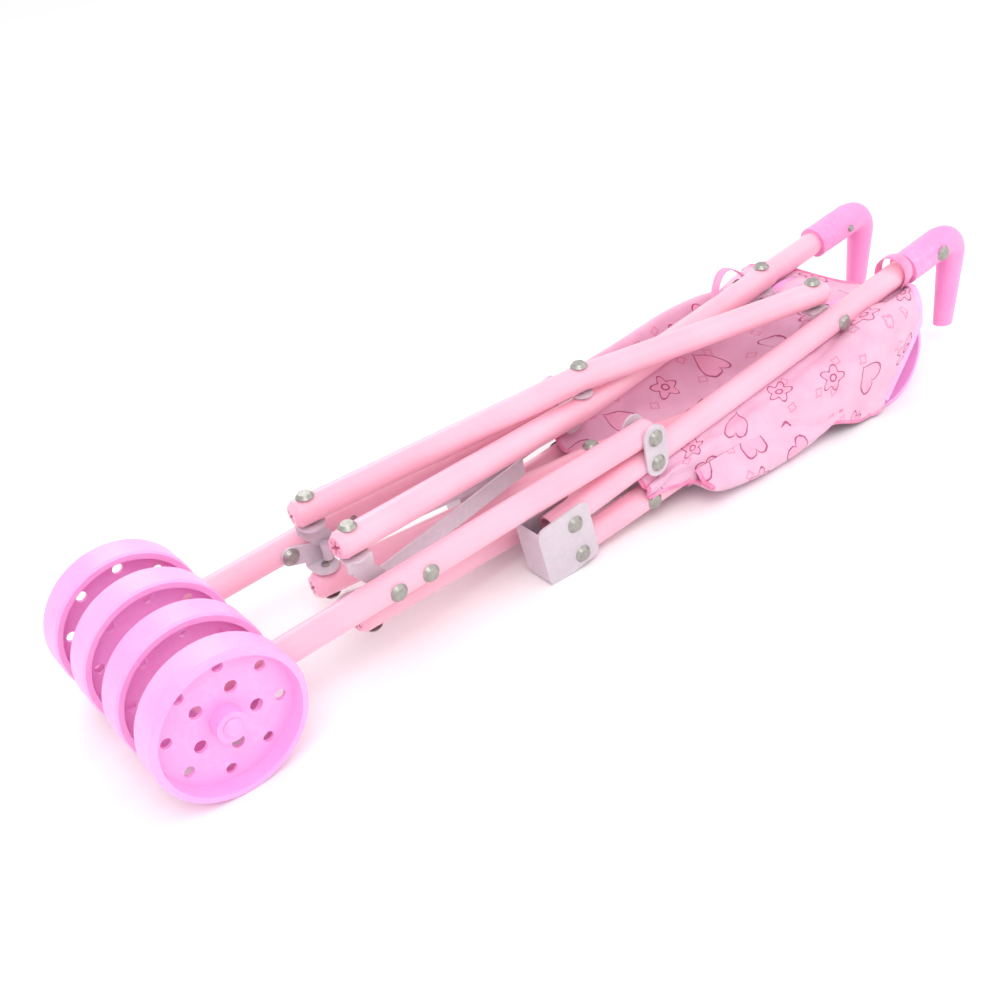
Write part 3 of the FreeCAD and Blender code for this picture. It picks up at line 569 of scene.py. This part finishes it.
def seat_cloth():
    """The seat's printed cloth, which hangs from both back tubes."""
    rows, columns = 74, 92
    points = np.empty((rows, columns, 3))
    lean = profile(HEM_LEAN, np.linspace(0, 1, columns))
    for i in range(rows):
        s = i / (rows - 1)
        x = SEAT_START + s * SEAT_RUN
        for j, (y, z) in enumerate(seat_section(x, columns)):
            points[i, j] = leg(x + lean[j] * s ** 2, y, z)
    piece = grid_mesh("seat_cloth", points, CLOTH)
    pinned = np.abs(np.abs(points[..., 1]) - TRACK) < PINNED_HALF
    pinned[-1] |= points[-1, :, 1] > -TRACK
    simulate(piece, pinned, grow=0.09, frames=18, cap=MOST_SAG)
    settled = get_points(piece.data).reshape(points.shape)
    for _ in range(4):
        settled = smooth_grid(clear_of_frame(settled), pinned)
    settled = clear_of_frame(settled)
    set_points(piece, settled)
    return piece, settled


def pan_cloth():
    """The seat's pan: a gathered pouch that hangs to the ground under the near and far wings."""
    rows, columns = 70, 110
    points = np.empty((rows, columns, 3))
    for i in range(rows):
        s = i / (rows - 1)
        x = PAN_START + s * PAN_RUN
        ground = -(AXLE.z / MM + x * LEG_WAY.z) / LEG_UP.z
        floor = ground + PAN_GAP + (1 - math.sin(math.pi * s) ** 0.4) * PAN_END_RISE
        top = PAN_TOP - PAN_TOP_DROP * s
        section = section_curve([
            (-47, top), (-55, top - 8), (-58.5, (top + floor) / 2 - 3), (-56, floor + 2), (-44, floor),
            (-15, floor + 1), (15, floor + 1), (44, floor), (56, floor + 2),
            (58.5, (top + floor) / 2 - 3), (55, top - 8), (47, top)], columns)
        for j, (y, z) in enumerate(section):
            fold = math.sin(j * 1.35 + math.sin(i * 0.5)) * PAN_FOLD * s ** 3
            points[i, j] = leg(x + fold * 0.4, y, z + fold)
    piece = grid_mesh("seat_pan_cloth", points, CLOTH)
    settled = clear_of_frame(points)
    set_points(piece, settled)
    return piece, settled


def thicken(piece):
    """Gives a cloth its thickness and rounds it off."""
    for kind, settings in (("SUBSURF", {"levels": 1, "render_levels": 1}),
                           ("SOLIDIFY", {"thickness": CLOTH_THICKNESS, "offset": 0.0})):
        modifier = piece.modifiers.new(kind.lower(), kind)
        for key, value in settings.items():
            setattr(modifier, key, value)
    seen = piece.evaluated_get(bpy.context.evaluated_depsgraph_get())
    mesh = bpy.data.meshes.new_from_object(seen)
    piece.modifiers.clear()
    piece.data = mesh
    return piece


def edging(name, line, width, thickness, material, up):
    """A flat rounded band sewn along a line of points, with its width along up."""
    line = np.array(line)
    way = np.gradient(line, axis=0)
    way /= np.linalg.norm(way, axis=1, keepdims=True)
    up = np.broadcast_to(np.array(up, float), line.shape)
    flat_way = up - way * np.sum(up * way, axis=1, keepdims=True)
    flat_way /= np.linalg.norm(flat_way, axis=1, keepdims=True)
    normal = np.cross(way, flat_way)
    turns = np.linspace(0, 2 * math.pi, 13)
    rings = [line + flat_way * (math.cos(t) * width / 2) + normal * (math.sin(t) * thickness / 2)
             for t in turns]
    return grid_mesh(name, np.stack(rings, 1), material)


def across_frame(piece):
    """Bakes the piece's placing into its mesh."""
    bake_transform(piece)
    return piece


seat, seat_grid = seat_cloth()
pan, pan_grid = pan_cloth()

HEM_CHANGE = 37  # the column where the back hem's band ends and its piping starts
edges = [
    edging("near_hem_band", seat_grid[-1, 2:HEM_CHANGE + 1], 5.5 * MM, 1.5 * MM, HEM_BAND, (-1, 0, 0.2)),
    edging("back_hem_piping", seat_grid[-1, HEM_CHANGE:], 2.4 * MM, 2.0 * MM, BINDING, (0, 0, 1)),
    edging("near_wing_binding", seat_grid[:, 0], 2.6 * MM, 1.5 * MM, BINDING, (0, 0, 1)),
    edging("far_wing_binding", seat_grid[:, -1], 2.6 * MM, 1.5 * MM, BINDING, (0, 0, 1)),
    edging("front_hem_binding", seat_grid[0], 3.0 * MM, 1.5 * MM, BINDING, (1, 0, 0)),
    edging("pan_back_binding", pan_grid[-1], 3.4 * MM, 1.6 * MM, BINDING, (1, 0, 0)),
    edging("pan_front_binding", pan_grid[0], 3.4 * MM, 1.6 * MM, BINDING, (1, 0, 0)),
]
for piece in [thicken(seat), thicken(pan)] + edges:
    across_frame(piece)
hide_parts("seat_sling")


RIBBON_THICKNESS = 0.9 * MM


def sewn_ribbon(name, side, line, width, up):
    """A ribbon along a line of points, sewn to one side's back tube."""
    piece = edging(name, line, width, RIBBON_THICKNESS, RIBBON, up)
    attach(piece, "back_frame_" + side)


def ribbon_loop(name, side, place, width, reach, height, lean):
    """A ribbon tied round a back tube at a place along it, with its loop standing up."""
    sign = SIDES[side]
    centre = on_back(place) + Vector((0, sign * TRACK, 0))
    line = []
    for t in np.linspace(0, 1, 40):
        hump = math.sin(math.pi * t)
        angle = math.pi * (1.25 - 1.5 * t)
        out = math.cos(angle) * (TUBE + CLEAR) * (1 + 0.2 * hump)
        rise = math.sin(angle) * (TUBE + CLEAR) + height * hump ** 0.7
        line.append(centre + Vector((0, out * sign, 0)) + BACK_UP * rise
                    + BACK_WAY * (lean * hump + reach * (t - 0.5)))
    sewn_ribbon(name, side, line, width, BACK_WAY)


def ribbon_arch(name, side, place, width, reach, height):
    """A ribbon sewn down at both ends along a back tube, arched up and out between them."""
    foot = on_back(place) + Vector((0, SIDES[side] * TRACK, 0)) + BACK_UP * (TUBE - 1 * MM)
    line = []
    for t in np.linspace(0, 1, 30):
        hump = math.sin(math.pi * t) ** 0.8
        line.append(foot + BACK_WAY * (reach * (t - 0.5)) + BACK_UP * (height * hump)
                    + Vector((0, SIDES[side] * 3 * MM * hump, 0)))
    sewn_ribbon(name, side, line, width, (0, 1, 0))


ribbon_loop("near_ribbon_loop", "right", 468, width=7 * MM, reach=6 * MM, height=4 * MM, lean=3 * MM)
ribbon_arch("far_ribbon_loop", "left", 404, width=6 * MM, reach=28 * MM, height=13 * MM)


# ---- floor, light and camera -------------------------------------------------------------

FLOOR_REACH = 40.0


def floor():
    """A wide pale floor that the stroller lies on."""
    corners = [(x * FLOOR_REACH, y * FLOOR_REACH, 0) for x, y in ((-1, -1), (1, -1), (1, 1), (-1, 1))]
    mesh = bpy.data.meshes.new("floor")
    mesh.from_pydata(corners, [], [(0, 1, 2, 3)])
    piece = bpy.data.objects.new("floor", mesh)
    bpy.context.scene.collection.objects.link(piece)
    g = Graph("floor_paint")
    g.set(Base_Color=g.blend(g.noise(3, 2), (0.97, 0.97, 0.97, 1), (0.99, 0.98, 0.98, 1)), Roughness=0.9)
    mesh.materials.append(g.material)


LIGHT_AIM = Vector((0, 0, 0.03))
LIGHTS = {  # place, size and power
    "key": ((-0.5, -0.7, 1.3), 0.9, 6.5),
    "fill": ((0.9, -0.6, 0.8), 1.1, 2.0),
    "rim": ((0.2, 1.2, 0.9), 0.9, 4.0),
}


def soft_light(name, place, size, watts):
    """A round soft light, turned towards the stroller."""
    lamp = bpy.data.lights.new(name, "AREA")
    lamp.shape, lamp.size, lamp.energy = "DISK", size, watts
    holder = bpy.data.objects.new(name, lamp)
    holder.location = place
    holder.rotation_euler = (Vector(place) - LIGHT_AIM).to_track_quat("Z", "Y").to_euler()
    bpy.context.scene.collection.objects.link(holder)


CAMERA_PLACE = Vector((AXLE.x, 0, 0)) + Vector((-130.2, -484.2, 402.7)) * MM
CAMERA_RIGHT = Vector((0.7808, -0.6125, -0.1231))
CAMERA_UP = Vector((0.4160, 0.3627, 0.8339))
FOCAL_LENGTH, SENSOR_WIDTH = 47.08, 36.0  # in millimetres, as Blender takes them


def camera():
    """The fitted camera, from its place and its right and up directions."""
    lens = bpy.data.cameras.new("camera")
    lens.lens, lens.sensor_width = FOCAL_LENGTH, SENSOR_WIDTH
    lens.clip_start, lens.clip_end = 0.01, 50.0
    holder = bpy.data.objects.new("camera", lens)
    turn = Matrix((CAMERA_RIGHT, CAMERA_UP, CAMERA_RIGHT.cross(CAMERA_UP))).transposed().to_4x4()
    holder.matrix_world = Matrix.Translation(CAMERA_PLACE) @ turn
    bpy.context.scene.collection.objects.link(holder)
    bpy.context.scene.camera = holder


def studio_world():
    """Even light from all round, white with a trace of pink."""
    world = bpy.data.worlds.new("studio")
    world.use_nodes = True
    background = world.node_tree.nodes["Background"]
    background.inputs["Color"].default_value = (1.0, 0.99, 0.995, 1)
    background.inputs["Strength"].default_value = 0.99
    bpy.context.scene.world = world


floor()
for light_name, (light_place, light_size, power) in LIGHTS.items():
    soft_light(light_name, light_place, light_size, power)
camera()
studio_world()
bpy.context.scene.view_settings.view_transform = "Standard"
bpy.context.scene.view_settings.look = "None"
